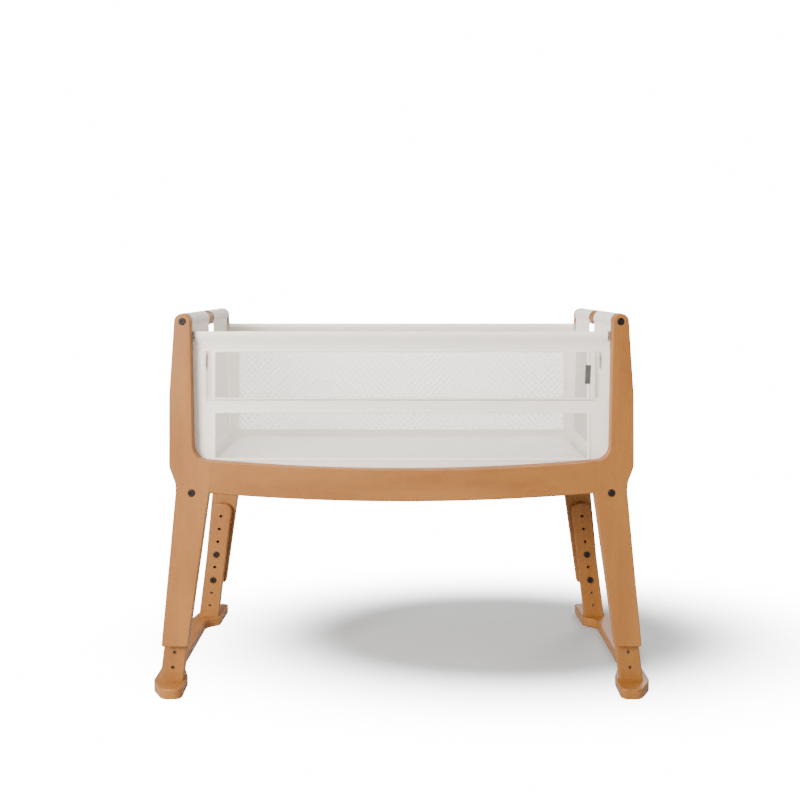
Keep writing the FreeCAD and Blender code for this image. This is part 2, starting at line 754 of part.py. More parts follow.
def base_board(low, half_x, half_y):
    """The stiff board under the mattress, with its grid of air holes."""
    board = level_block(half_x, half_y, low, BOARD_THICK, 10)
    columns, rows = VENT_GRID
    for i in range(columns):
        for j in range(rows):
            x = half_x * (2 * i + 1 - columns) / columns
            y = MIDDLE + half_y * (2 * j + 1 - rows) / rows
            board = board.cut(cylinder(VENT_R, (x, y, low), (0, 0, 1), BOARD_THICK))
    return board


def make_mattress():
    half_y = MIDDLE - PANEL_Y - HEM_R - MATTRESS_SIDE_GAP
    board_x = CROSS_X - SLEEVE_R - BOARD_GAP
    board_z = CROSS_Z + 1 + SLING_THICK + 0.3
    save("base_board", base_board(board_z, board_x, half_y))
    low = board_z + BOARD_THICK + 0.3
    half_x = CROSS_X - SLEEVE_R + MATTRESS_OVERHANG
    outside = level_block(half_x, half_y, low, MATTRESS_THICK, 40)
    inside = level_block(
        half_x - COVER_THICK, half_y - COVER_THICK, low + COVER_THICK, MATTRESS_THICK - 2 * COVER_THICK, 38
    )
    core = level_block(
        half_x - COVER_THICK - SLEEVE_CLEAR, half_y - COVER_THICK - SLEEVE_CLEAR, low + COVER_THICK,
        MATTRESS_THICK - 2 * COVER_THICK, 38
    )
    save("mattress_cover", outside.cut(inside))
    save("mattress_core", core)


os.makedirs("parts", exist_ok=True)
make_stand()
make_legs()
make_bassinet()
make_mattress()
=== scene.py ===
# %% [markdown]
# # A bassinet on a stand
#
# A baby's sleeping space of white cotton and net hangs in a beech frame. The front of it unzips and folds
# down, and bolted legs set its height. The wooden and metal pieces come finished from the design files, as
# fixed solids. Here they get their finishes, and the soft goods are sewn anew around them, piece by piece.

# %% Load the frame
import math

import bpy
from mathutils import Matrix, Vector


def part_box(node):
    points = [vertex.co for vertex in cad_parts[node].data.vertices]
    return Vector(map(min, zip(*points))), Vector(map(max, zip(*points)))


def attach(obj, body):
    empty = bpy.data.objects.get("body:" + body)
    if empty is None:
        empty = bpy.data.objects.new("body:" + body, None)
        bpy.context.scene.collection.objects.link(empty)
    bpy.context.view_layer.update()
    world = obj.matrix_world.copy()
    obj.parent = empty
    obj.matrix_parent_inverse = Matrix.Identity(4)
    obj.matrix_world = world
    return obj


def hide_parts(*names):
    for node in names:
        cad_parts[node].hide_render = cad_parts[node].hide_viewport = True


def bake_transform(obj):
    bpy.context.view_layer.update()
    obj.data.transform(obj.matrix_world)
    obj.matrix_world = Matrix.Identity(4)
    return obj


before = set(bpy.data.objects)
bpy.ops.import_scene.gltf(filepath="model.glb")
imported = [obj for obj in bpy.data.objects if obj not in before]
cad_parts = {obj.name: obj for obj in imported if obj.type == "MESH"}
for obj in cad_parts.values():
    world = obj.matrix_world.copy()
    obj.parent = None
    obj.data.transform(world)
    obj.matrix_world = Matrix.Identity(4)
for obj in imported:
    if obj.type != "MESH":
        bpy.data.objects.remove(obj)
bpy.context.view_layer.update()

# %% [markdown]
# ## Hands for modelling
#
# Every piece starts as a primitive and is shaped in edit mode. An operator acts on whatever is selected,
# so each helper first clears the selection, and faces or edges are then chosen by where they are. The
# alternative, writing vertices by hand, is harder to read and to change.

# %% Selecting and placing
ALONG_X = Vector((1, 0, 0))
UPWARDS = Vector((0, 0, 1))
TINY = 1e-6


def shut():
    """Leaves edit mode."""
    bpy.ops.object.mode_set(mode="OBJECT")


def clear_table():
    """Leaves nothing selected, so that the next primitive is on its own."""
    if bpy.context.object and bpy.context.object.mode != "OBJECT":
        shut()
    bpy.ops.object.select_all(action="DESELECT")


def take(piece):
    """Makes a piece the only one selected, in object mode."""
    clear_table()
    piece.select_set(True)
    bpy.context.view_layer.objects.active = piece
    return piece


def open_all(piece):
    """Opens a piece in edit mode with everything in it selected."""
    take(piece)
    bpy.ops.object.mode_set(mode="EDIT")
    bpy.ops.mesh.select_all(action="SELECT")


def bring_in(thing):
    """Links something new into the scene."""
    bpy.context.scene.collection.objects.link(thing)


def settle(name, size=(1, 1, 1)):
    """Names the new primitive, sizes it, and puts its place into its mesh."""
    piece = bpy.context.object
    piece.name = piece.data.name = name
    piece.scale = size
    bpy.ops.object.transform_apply(location=True, rotation=True, scale=True)
    return piece


def pick(piece, part, test):
    """Opens a piece in edit mode with only the faces or edges selected whose place passes the test."""
    open_all(piece)
    bpy.ops.mesh.select_mode(type="FACE" if part == "faces" else "EDGE")
    bpy.ops.mesh.select_all(action="DESELECT")
    shut()
    mesh = piece.data
    if part == "faces":
        for face in mesh.polygons:
            face.select = test(face.center, face.normal)
    else:
        for edge in mesh.edges:
            edge.select = test(*(mesh.vertices[i].co for i in edge.vertices))
    bpy.ops.object.mode_set(mode="EDIT")


def remove_faces(piece, test):
    """Cuts away the faces whose place passes the test."""
    pick(piece, "faces", test)
    bpy.ops.mesh.delete(type="FACE")
    shut()


def cut_across(piece, direction, places):
    """Lays new edges across a piece where a plane at each of the places meets it."""
    open_all(piece)
    bpy.ops.mesh.select_mode(type="VERT")
    for place in places:
        bpy.ops.mesh.select_all(action="SELECT")
        bpy.ops.mesh.bisect(plane_co=direction * place, plane_no=direction)
    shut()


def apply(piece, kind, **settings):
    """Adds a modifier with these settings and applies it at once."""
    take(piece)
    modifier = piece.modifiers.new(kind.lower(), kind)
    for name, value in settings.items():
        setattr(modifier, name, value)
    bpy.ops.object.modifier_apply(modifier=modifier.name)


def smooth(piece, angle=40):
    """Shades a piece smooth, but for edges sharper than the angle."""
    take(piece)
    bpy.ops.object.shade_smooth_by_angle(angle=math.radians(angle))
    return piece


def join(name, pieces):
    """Makes one piece of several."""
    take(pieces[0])
    for piece in pieces[1:]:
        piece.select_set(True)
    if pieces[1:]:
        bpy.ops.object.join()
    pieces[0].name = pieces[0].data.name = name
    return pieces[0]


def both_sides(piece):
    """A right piece and its mirror image at the left, each after the name of its side."""
    copy = piece.copy()
    copy.data = piece.data.copy()
    copy.name = copy.data.name = piece.name.replace("right", "left")
    bring_in(copy)
    take(copy)
    copy.scale = (-1, 1, 1)
    bpy.ops.object.transform_apply(location=False, rotation=False, scale=True)
    open_all(copy)
    bpy.ops.mesh.flip_normals()
    shut()
    return ("right", piece), ("left", copy)


def extrude(way):
    """Extrudes what is selected and moves it."""
    bpy.ops.mesh.extrude_region_move(TRANSFORM_OT_translate={"value": way})


def repeat(piece, count, step):
    """Repeats a piece so many times, a step apart."""
    spacing = dict(use_relative_offset=False, use_constant_offset=True)
    apply(piece, "ARRAY", count=count, constant_offset_displace=step, **spacing)


clear_table()
print("modelling tools ready")

# %% [markdown]
# ## Wiring a finish
#
# A finish is a small network of nodes. A few helpers keep the networks short: one adds a node and fills its
# inputs, one mixes two colours, one makes noise. All patterns are laid out on Object coordinates, which are
# metres here, so a scale of 400 means a pattern that repeats about 400 times in a metre.

# %% Node helpers


def new_finish(name, roughness, **plain):
    """A material with its tree and its shader, and the shader's plain values set."""
    material = bpy.data.materials.new(name)
    material.use_nodes = True
    shader = material.node_tree.nodes["Principled BSDF"]
    shader.inputs["Roughness"].default_value = roughness
    for socket, value in plain.items():
        shader.inputs[socket.replace("_", " ")].default_value = value
    return material, material.node_tree, shader


def put(tree, kind, inputs=None, **settings):
    """Adds a node, with its settings, and with a value or a link in each named input."""
    node = tree.nodes.new("ShaderNode" + kind)
    for name, value in settings.items():
        setattr(node, name, value)
    for name, value in (inputs or {}).items():
        if isinstance(value, bpy.types.NodeSocket):
            tree.links.new(value, node.inputs[name])
        else:
            node.inputs[name].default_value = value
    return node


def mixed(tree, share, *ends):
    """The colour between two colours, each three numbers or a link."""
    first, second = [(*end, 1) if isinstance(end, tuple) else end for end in ends]
    return put(tree, "Mix", {0: share, 6: first, 7: second}, data_type="RGBA").outputs[2]


def stretched(tree, scale):
    """Object coordinates, with the pattern squeezed by a scale of its own along each axis."""
    place = put(tree, "TexCoord").outputs["Object"]
    return put(tree, "Mapping", {"Vector": place, "Scale": scale}).outputs["Vector"]


def noise(tree, scale, detail):
    """Noise in Object coordinates, squeezed like them."""
    inputs = {"Vector": stretched(tree, scale), "Scale": 1, "Detail": detail}
    return put(tree, "TexNoise", inputs).outputs["Fac"]


def spread(tree, value, low, high, to_low=0.0, to_high=1.0):
    """A value's range between low and high, spread to a new range and held there."""
    inputs = {"Value": value, "From Min": low, "From Max": high, "To Min": to_low, "To Max": to_high}
    return put(tree, "MapRange", inputs).outputs["Result"]


def raise_bump(tree, shader, height, distance, strength):
    """Gives a shader a relief of at most this distance."""
    bump = put(tree, "Bump", {"Height": height, "Distance": distance, "Strength": strength})
    tree.links.new(bump.outputs["Normal"], shader.inputs["Normal"])


print("wiring tools ready")

# %% [markdown]
# ## Beech
#
# The frame is solid beech under a clear satin oil. Beech has almost no figure: soft, long clouds of darker
# and lighter wood, faint growth lines along the board, and short dark flecks, the rays, a few millimetres
# long. Four noises stretched along the grain make those. The grain runs along each board, so there is one
# finish for upright boards, one for boards along the length and one for boards and rods front to back.

# %% Beech, by the way its grain runs
BEECH_PALE = (0.305, 0.12, 0.023)
BEECH_DEEP = (0.232, 0.081, 0.013)
BEECH_RAY = (0.145, 0.043, 0.007)


def beech(name, grain):
    """Beech whose grain runs along axis number grain."""
    material, tree, shader = new_finish(name, 0.46, Specular_IOR_Level=0.35)

    def grained(length, across, detail):
        """Noise that is stretched along the grain."""
        scale = [across] * 3
        scale[grain] = length
        return noise(tree, scale, detail)

    clouds = grained(3.5, 16, 3)
    lines = grained(5, 260, 4)
    rays = grained(230, 1250, 1)
    mottle = grained(34, 75, 2)
    board = mixed(tree, spread(tree, clouds, 0.34, 0.68), BEECH_PALE, BEECH_DEEP)
    lined = mixed(tree, spread(tree, lines, 0.45, 0.75, 0, 0.34), board, BEECH_DEEP)
    clouded = mixed(tree, spread(tree, mottle, 0.4, 0.7, 0, 0.25), lined, BEECH_PALE)
    flecked = mixed(tree, spread(tree, rays, 0.6, 0.72, 0, 0.5), clouded, BEECH_RAY)
    tree.links.new(flecked, shader.inputs["Base Color"])
    tree.links.new(spread(tree, lines, 0.3, 0.8, 0.4, 0.55), shader.inputs["Roughness"])
    raise_bump(tree, shader, lines, 0.0003, 0.35)
    return material


beech_upright = beech("beech_upright", 2)
beech_lengthwise = beech("beech_lengthwise", 0)
beech_crosswise = beech("beech_crosswise", 1)
print("beech in three directions")

# %% [markdown]
# ## Metals and hard plastics
#
# The bolts are black-oxide steel with a hex socket. Screws and inserts are bright plated steel, the top
# tubes are brushed aluminium, the tube clips are moulded plastic, and the zip sliders and their pulls are
# enamelled cream. One function makes them all: a finish is two tones, a gloss and the scale of its wear.

# %% Metals, plastics, felt and board


def worn(name, dark, bright, roughness, scale, metallic=0.0):
    """A hard finish, mottled between two colours, with roughness to match."""
    material, tree, shader = new_finish(name, roughness, Metallic=metallic)
    marks = noise(tree, scale, 5)
    tone = mixed(tree, spread(tree, marks, 0.35, 0.7), dark, bright)
    tree.links.new(tone, shader.inputs["Base Color"])
    gloss = spread(tree, marks, 0.3, 0.7, roughness - 0.07, roughness + 0.09)
    tree.links.new(gloss, shader.inputs["Roughness"])
    raise_bump(tree, shader, marks, 0.0002, 0.3)
    return material


black_steel = worn("black_steel", (0.013, 0.008, 0.008), (0.03, 0.018, 0.017), 0.38, (900, 900, 900), 0.6)
bright_steel = worn("bright_steel", (0.5, 0.49, 0.47), (0.68, 0.67, 0.65), 0.3, (500, 500, 700), 1.0)
ALUMINIUM = ((0.55, 0.55, 0.56), (0.74, 0.74, 0.75))
brushed_aluminium = worn("brushed_aluminium", *ALUMINIUM, 0.33, (60, 2600, 2600), 1.0)
moulded_plastic = worn("moulded_plastic", (0.5, 0.46, 0.41), (0.6, 0.56, 0.5), 0.5, (1500, 1500, 1500))
cream_enamel = worn("cream_enamel", (0.62, 0.56, 0.47), (0.76, 0.69, 0.59), 0.35, (900, 900, 900))
nylon_teeth = worn("nylon_teeth", (0.6, 0.54, 0.45), (0.72, 0.65, 0.55), 0.42, (700, 700, 700))
wool_felt = worn("wool_felt", (0.2, 0.18, 0.16), (0.36, 0.33, 0.3), 0.95, (1800, 1800, 1800))
pressed_board = worn("pressed_board", (0.34, 0.2, 0.1), (0.5, 0.32, 0.18), 0.75, (420, 650, 900))
seat_foam = worn("seat_foam", (0.7, 0.66, 0.5), (0.8, 0.76, 0.6), 0.9, (1100, 1100, 1100))
print("hard finishes ready")

# %% [markdown]
# ## Cotton and net
#
# The panels are a close plain weave: threads cross every half millimetre or so. Two bands of waves, one
# along each direction of the cloth, are multiplied into a weave, and a slow noise makes the slubs and the
# small changes of tone that keep a white cloth from looking like plastic. The same network serves every
# cloth here, at its own pitch and in its own tone.

# %% Woven cloths


def woven(name, tone, shade, pitch, relief, sheen=0.12):
    """A plain weave with a thread every pitch metres, between a tone and its shade."""
    material, tree, shader = new_finish(name, 0.88, Sheen_Weight=sheen, Sheen_Roughness=0.5)
    turns = math.tau / pitch / 20
    threads = []
    for direction in "XYZ":
        inputs = {"Vector": stretched(tree, (1, 1, 1)), "Scale": turns, "Distortion": 0.6, "Detail": 1}
        threads.append(put(tree, "TexWave", inputs, bands_direction=direction).outputs["Fac"])
    crossed = put(tree, "Math", {0: threads[0], 1: threads[2]}, operation="MULTIPLY").outputs[0]
    weave = put(tree, "Math", {0: crossed, 1: threads[1]}, operation="ADD").outputs[0]
    slubs = noise(tree, (70, 70, 420), 4)
    clouds = noise(tree, (14, 14, 14), 2)
    body = mixed(tree, spread(tree, slubs, 0.35, 0.75, 0, 0.5), tone, shade)
    aged = mixed(tree, spread(tree, clouds, 0.35, 0.75, 0, 0.35), body, shade)
    shaded = mixed(tree, spread(tree, weave, 0.2, 1.2, 0.16, 0), aged, shade)
    tree.links.new(shaded, shader.inputs["Base Color"])
    raise_bump(tree, shader, weave, relief, 0.5)
    return material


panel_cotton = woven("panel_cotton", (0.9, 0.825, 0.725), (0.83, 0.755, 0.655), 0.0006, 0.0003)
sleeve_cotton = woven("sleeve_cotton", (0.82, 0.755, 0.675), (0.74, 0.68, 0.605), 0.0008, 0.0004)
binding_cotton = woven("binding_cotton", (0.92, 0.85, 0.755), (0.86, 0.79, 0.69), 0.0005, 0.0003)
zip_tape_cotton = woven("zip_tape_cotton", (0.82, 0.74, 0.62), (0.74, 0.66, 0.55), 0.0005, 0.0003)
# painted shade: the fold tape is coloured darker than the panels, for the shade in the groove
fold_painted_shade = woven("fold_painted_shade", (0.7, 0.64, 0.56), (0.6, 0.545, 0.475), 0.0005, 0.0003)
# painted shade: the end nets are coloured much darker than the other nets, partly a greyer thread, mostly
# the shade inside the ends
end_net_thread = woven("end_net_thread", (0.5, 0.455, 0.4), (0.43, 0.39, 0.34), 0.0004, 0.0002)
net_thread = woven("net_thread", (0.9, 0.825, 0.73), (0.82, 0.75, 0.66), 0.0004, 0.0002)
sewing_thread = woven("sewing_thread", (0.92, 0.85, 0.76), (0.84, 0.77, 0.68), 0.0003, 0.0001)
label_satin = woven("label_satin", (0.08, 0.073, 0.06), (0.055, 0.05, 0.042), 0.0006, 0.0003, 0.3)
mattress_jersey = woven("mattress_jersey", (0.95, 0.91, 0.85), (0.9, 0.86, 0.8), 0.0009, 0.0004)
print("cloths ready")

# %% [markdown]
# ## Dress the wooden and metal pieces
#
# The solids of the frame keep their shape and place. Only what fills their material slots changes. Which
# beech a board gets follows from its name, because posts stand, rails lie lengthwise, and the runners, end
# rods and cross rails run front to back.

# %% Finishes for the frame
HARD_FINISHES = {
    "black_steel": black_steel,
    "bright_steel": bright_steel,
    "felt": wool_felt,
    "aluminium": brushed_aluminium,
    "dark_plastic": moulded_plastic,
    "board": pressed_board,
    "foam": seat_foam,
}


def beech_for(node):
    """The beech whose grain runs along this piece."""
    if "post" in node or "leg" in node:
        return beech_upright
    if "dowels" in node or node in ("front_rail", "rear_rail"):
        return beech_lengthwise
    return beech_crosswise


dressed = 0
for name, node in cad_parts.items():
    for place, slot in enumerate(node.material_slots):
        kind = slot.material.name
        finish = beech_for(name) if kind == "beech" else HARD_FINISHES.get(kind)
        if "_zip_" in name:
            finish = cream_enamel
        if finish:
            node.material_slots[place].material = finish
            dressed += 1
print(dressed, "hard pieces dressed")

# %% [markdown]
# ## A panel of cloth
#
# Each side of the bed is a flat panel, cut to an outline with a window in it. It is made as a fine grid, so
# that it can ripple, then cut along the outline with bisect planes, and the cells inside the window are
# taken out. Solidify gives the cloth its thickness at the end. A single big face would be lighter, but
# cloth that can't ripple looks like card.

# %% Cloth helpers
CLOTH = 0.0012


def upright_grid(name, x_range, z_range, y, cell):
    """A grid of square cells that stands at y and faces the front."""
    width, height = x_range[1] - x_range[0], z_range[1] - z_range[0]
    clear_table()
    bpy.ops.mesh.primitive_grid_add(
        x_subdivisions=max(1, round(width / cell)),
        y_subdivisions=max(1, round(height / cell)),
        size=1,
        location=(sum(x_range) / 2, y, sum(z_range) / 2),
        rotation=(math.pi / 2, 0, 0),
    )
    return settle(name, (width, height, 1))


def open_window(panel, x_range, z_range):
    """Cuts a rectangular window in a panel."""
    (left, right), (low, high) = x_range, z_range
    cut_across(panel, ALONG_X, x_range)
    cut_across(panel, UPWARDS, z_range)
    remove_faces(panel, lambda place, normal: left < place.x < right and low < place.z < high)


def ripple(piece, depth, size, direction="Y", stretch=(1, 1, 1)):
    """Lets a piece of cloth wave by up to half the depth, in waves of about the size."""
    clouds = bpy.data.textures.new("ripples", "CLOUDS")
    clouds.noise_scale = size
    clouds.noise_depth = 1
    guide = bpy.data.objects.new("ripple_guide", None)
    guide.scale = stretch
    bring_in(guide)
    bpy.context.view_layer.update()
    settings = dict(texture=clouds, strength=depth, mid_level=0.5, direction=direction)
    apply(piece, "DISPLACE", texture_coords="OBJECT", texture_coords_object=guide, **settings)
    bpy.data.objects.remove(guide)
    return piece


def thicken(piece, thickness):
    """Gives a cloth its thickness, half of it to each side."""
    apply(piece, "SOLIDIFY", thickness=thickness, offset=0.0)
    return smooth(piece)


def finish_cloth(piece, body, material, slot, *nodes):
    """Gives a piece its material and its body, and hides the nodes that it stands for. The slot is not used.
    """
    piece.data.materials.clear()
    piece.data.materials.append(material)
    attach(piece, body)
    if nodes:
        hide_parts(*nodes)
    return piece


def extent(*ranges):
    """How far each range reaches."""
    return tuple(high - low for low, high in ranges)


print("cloth tools ready")

# %% [markdown]
# ## Stitches and bindings
#
# Sewn goods are told by their edges. A stitch is a short bar of thread with rounded ends, modelled once and
# repeated by an array along the seam. A binding is a tape folded round the edge of a window: a rounded
# rectangle, inset by the tape's width, with the middle taken out and the rest made thicker than the cloth.
# Both are helpers, because every side of the bed is sewn the same way.

# %% Sewing helpers
STITCH = 0.0026
STITCH_PITCH = 0.0036
THREAD = 0.00035
SEAM_INSET = 0.0018
BINDING = 0.0062
BINDING_THICK = 0.0026
BINDING_CORNER = 0.008
BINDING_EDGE = 0.28


def stitched(name, start, end):
    """A straight row of stitches from start to end."""
    start = Vector(start)
    run = Vector(end) - start
    step = run.normalized() * STITCH_PITCH
    clear_table()
    bpy.ops.mesh.primitive_uv_sphere_add(segments=6, ring_count=4, radius=1)
    row = settle(name, (THREAD, THREAD, STITCH / 2))
    row.rotation_euler = run.to_track_quat("Z", "Y").to_euler()
    row.location = start + step / 2
    bpy.ops.object.transform_apply(location=True, rotation=True, scale=True)
    repeat(row, max(1, int(run.length / STITCH_PITCH)), step)
    return row


def inset(bounds):
    """A window's width or height less the room for a seam at each end."""
    return bounds[0] + SEAM_INSET, bounds[1] - SEAM_INSET


def stitched_frame(name, x_range, z_range, y):
    """Four rows of stitches just inside an upright window."""
    (left, right), (low, high) = inset(x_range), inset(z_range)
    corners = [(left, y, low), (right, y, low), (right, y, high), (left, y, high)]
    rows = [stitched(name, corners[i], corners[(i + 1) % 4]) for i in range(4)]
    return join(name, rows)


def binding(name, x_range, z_range, y):
    """A tape round a window: the window's edge runs along the middle of the tape."""
    width, height = extent(x_range, z_range)
    clear_table()
    place = (sum(x_range) / 2, y, sum(z_range) / 2)
    bpy.ops.mesh.primitive_plane_add(size=1, location=place, rotation=(math.pi / 2, 0, 0))
    tape = settle(name, (width + BINDING, height + BINDING, 1))
    open_all(tape)
    bpy.ops.mesh.bevel(affect="VERTICES", offset=BINDING_CORNER, segments=5)
    bpy.ops.mesh.select_all(action="SELECT")
    bpy.ops.mesh.inset(thickness=BINDING)
    bpy.ops.mesh.delete(type="FACE")
    shut()
    apply(tape, "SOLIDIFY", thickness=BINDING_THICK, offset=0.0)
    apply(tape, "BEVEL", width=BINDING_THICK * BINDING_EDGE, segments=2, limit_method="ANGLE")
    return smooth(tape, 50)


print("sewing tools ready")

# %% [markdown]
# ## Net
#
# The windows are a fine white net with small diamond holes. It could be a flat pane with holes painted on
# it, but real holes let the light, the mattress and the far side of the bed show through from every angle.
# A grid is poked, so that each cell gets a middle, and its old edges are dissolved: what is left are
# diamonds. Each diamond is inset by half a thread, and the middles are deleted.

# %% Making net
NET_CELL = 0.0042
NET_HOLE = 0.78
NET_WAVE = (0.0012, 0.09)


def pierce(pane, cell, hole):
    """Turns a grid of cells into net, whose holes are this share of a diamond's side across."""
    mesh = pane.data
    corner_count = len(mesh.vertices)
    uses = {}
    for face in mesh.polygons:
        for key in face.edge_keys:
            uses[key] = uses.get(key, 0) + 1
    open_all(pane)
    bpy.ops.mesh.select_mode(type="FACE")
    bpy.ops.mesh.poke()
    bpy.ops.mesh.select_mode(type="EDGE")
    bpy.ops.mesh.select_all(action="DESELECT")
    shut()
    for edge in pane.data.edges:
        key = tuple(sorted(edge.vertices))
        edge.select = max(key) < corner_count and uses.get(key) == 2
    bpy.ops.object.mode_set(mode="EDIT")
    bpy.ops.mesh.dissolve_edges(use_verts=False)
    bpy.ops.mesh.select_mode(type="FACE")
    bpy.ops.mesh.select_all(action="SELECT")
    half_thread = cell / math.sqrt(2) * (1 - hole) / 2
    bpy.ops.mesh.inset(thickness=half_thread, use_individual=True)
    bpy.ops.mesh.delete(type="FACE")
    shut()
    return pane


def upright_net(name, x_range, z_range, y, cell=NET_CELL, hole=NET_HOLE):
    """A net that stands at y and waves a little."""
    net = pierce(upright_grid(name, x_range, z_range, y, cell), cell, hole)
    return ripple(net, *NET_WAVE)


def window_goods(name, x_range, z_range, y, cell=NET_CELL, hole=NET_HOLE, sides=(-1, 1)):
    """The net and the binding of a window, and the seams on the binding's front and back."""
    net = upright_net(name + "_net", x_range, z_range, y, cell, hole)
    tape = binding(name + "_binding", x_range, z_range, y)
    seams = [stitched_frame(name, x_range, z_range, y + side * BINDING_THICK / 2) for side in sides]
    return net, tape, seams


print(f"threads cover {1 - NET_HOLE ** 2:.2f} of the front nets")

# %% [markdown]
# ## The drop panel
#
# The upper half of the front. Zips hold its two sides, and it folds down on a line just above the fixed
# band. It is one cloth: a casing for the top tube, a plain band below it that spans the whole front, and a
# narrow border round a net window. The casing is the top edge of the same grid: it is eased outwards until
# it touches the tube, spun over the tube by half a turn, and extruded back down to its seam. A separate
# cylinder would show a crease below the tube, where real cloth falls straight.

# %% Sizes of the front
WINDOW_SEAM = 0.0003


def opening(node, axes):
    """Where the window round a pane begins and ends along each axis."""
    low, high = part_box(node)
    return [(getattr(low, a) - WINDOW_SEAM, getattr(high, a) + WINDOW_SEAM) for a in axes]


UPPER_X, UPPER_Z = opening("drop_panel_mesh", "xz")
LOWER_Z = opening("front_lower_mesh", "z")[0]
panel_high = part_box("drop_panel")[1]
fixed_low, fixed_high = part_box("front_lower_panel")
tube_low, tube_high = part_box("front_top_tube")
FRONT_Y = (fixed_low.y + fixed_high.y) / 2
TUBE_Z = (tube_low.z + tube_high.z) / 2
CASING_R = panel_high.z - TUBE_Z
CASING_HALF = panel_high.x
CASING_DROP = 0.0126
PANEL_HALF = fixed_high.x - 0.0008
ZIP_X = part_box("drop_panel_coils")[1].x
FOLD_Z = fixed_high.z
SEAM_Z = TUBE_Z - CASING_DROP
print("window", [round(v, 4) for v in (*UPPER_X, *UPPER_Z)], "front cloth at y", round(FRONT_Y, 4))

# %% Cut and sew the drop panel
CLOTH_CELL = 0.006
FOLD_GAP = 0.0016
EASE = 0.022
SEAM_LAP = 0.001
SPIN_STEPS = 12
DRAPE_STEPS = 3
CLIP_ROOM = 0.01


def cloth_with_casing(name, y, low, outward):
    """One cloth that stands up to the tube, goes over it and comes down on its inner side."""
    cloth = upright_grid(name, (-PANEL_HALF, PANEL_HALF), (low, TUBE_Z), y, CLOTH_CELL)

    def at_top(a, b):
        """Whether an edge lies along the top of the cloth."""
        return min(a.z, b.z) > TUBE_Z - TINY

    pick(cloth, "edges", at_top)
    easing = dict(use_proportional_edit=True, proportional_edit_falloff="SMOOTH", proportional_size=EASE)
    bpy.ops.transform.translate(value=(0, outward * CASING_R, 0), **easing)
    shut()
    pick(cloth, "edges", at_top)
    over = dict(center=(0, y, TUBE_Z), axis=(-outward, 0, 0))
    bpy.ops.mesh.spin(steps=SPIN_STEPS, angle=math.pi, **over)
    step = (0, outward * (CASING_R + SEAM_LAP) / DRAPE_STEPS, -CASING_DROP / DRAPE_STEPS)
    for turn in range(DRAPE_STEPS):
        extrude(step)
    shut()
    cut_across(cloth, ALONG_X, (-CASING_HALF, CASING_HALF))
    clip_z = TUBE_Z - CLIP_ROOM
    remove_faces(cloth, lambda place, normal: abs(place.x) > CASING_HALF and place.z > clip_z)
    return cloth


def casing_seam(y):
    """The stitches that close a casing below the tube."""
    height = SEAM_Z + SEAM_INSET
    return stitched("casing_seam", (-CASING_HALF, y, height), (CASING_HALF, y, height))


drop_panel = cloth_with_casing("drop_panel_cloth", FRONT_Y, FOLD_Z + FOLD_GAP, -1)
cut_across(drop_panel, ALONG_X, (-ZIP_X, ZIP_X))
cut_across(drop_panel, UPWARDS, (UPPER_Z[1],))
remove_faces(drop_panel, lambda place, normal: abs(place.x) > ZIP_X and place.z < UPPER_Z[1])
open_window(drop_panel, UPPER_X, (UPPER_Z[0] + FOLD_GAP, UPPER_Z[1]))
ripple(drop_panel, depth=0.0008, size=0.05)
thicken(drop_panel, CLOTH)
finish_cloth(drop_panel, "drop_side", panel_cotton, "cotton", "drop_panel")
print("drop panel", len(drop_panel.data.polygons), "faces")

# %% The drop panel's net and bindings
NET_LAP = 0.001
SEAM_FOOT = 0.004
STITCH_Y = FRONT_Y - BINDING_THICK / 2

drop_net = upright_net("drop_panel_net", UPPER_X, (UPPER_Z[0], UPPER_Z[1] + NET_LAP), FRONT_Y)
finish_cloth(drop_net, "drop_side", net_thread, "net", "drop_panel_mesh")

upper_binding = binding("drop_window_binding", UPPER_X, UPPER_Z, FRONT_Y)
open_all(upper_binding)
fold_edge = UPWARDS * (FOLD_Z + FOLD_GAP)
bpy.ops.mesh.bisect(plane_co=fold_edge, plane_no=UPWARDS, clear_inner=True, use_fill=True)
shut()
finish_cloth(upper_binding, "drop_side", binding_cotton, "cotton")

stitches = [
    stitched("side_seam", (x, STITCH_Y, UPPER_Z[0] + SEAM_FOOT), (x, STITCH_Y, UPPER_Z[1]))
    for x in inset(UPPER_X)
]
top_seam_z = UPPER_Z[1] - SEAM_INSET
stitches += [
    stitched("top_seam", (UPPER_X[0], STITCH_Y, top_seam_z), (UPPER_X[1], STITCH_Y, top_seam_z)),
    casing_seam(FRONT_Y - SEAM_LAP + CLOTH),
]
drop_stitches = join("drop_panel_stitches", stitches)
finish_cloth(drop_stitches, "drop_side", sewing_thread, "cotton")
print("drop panel sewn,", len(drop_stitches.data.polygons), "faces of thread")

# %% [markdown]
# ## The fixed half of the front
#
# Below the fold the front is one piece from a plain band down behind the rail, with a window of its own.
# Its lower corners are cut off at a slant, because the cross rails pass there. The two narrow strips beside
# the zips are sewn to it in the real bed, and stand as pieces of their own so that each keeps its outline.

# %% Cut the lower panel
SLANT = Vector((0.0248, 0, -0.021)).normalized()
SLANT_TOP = 0.4375


def slant_corners(panel, half):
    """Cuts off the two lower corners of a panel, where the cross rails pass."""
    for side in (-1, 1):
        open_all(panel)
        across = (side * SLANT.x, 0, SLANT.z)
        bpy.ops.mesh.bisect(plane_co=(side * half, 0, SLANT_TOP), plane_no=across, clear_outer=True)
        shut()


fixed_x = (fixed_low.x, fixed_high.x)
fixed_z = (fixed_low.z, FOLD_Z - FOLD_GAP / 2)
fixed_panel = upright_grid("front_lower_cloth", fixed_x, fixed_z, FRONT_Y, CLOTH_CELL)
slant_corners(fixed_panel, fixed_high.x)
open_window(fixed_panel, UPPER_X, LOWER_Z)
ripple(fixed_panel, depth=0.0009, size=0.06)
thicken(fixed_panel, CLOTH)
finish_cloth(fixed_panel, "stand", panel_cotton, "cotton", "front_lower_panel")

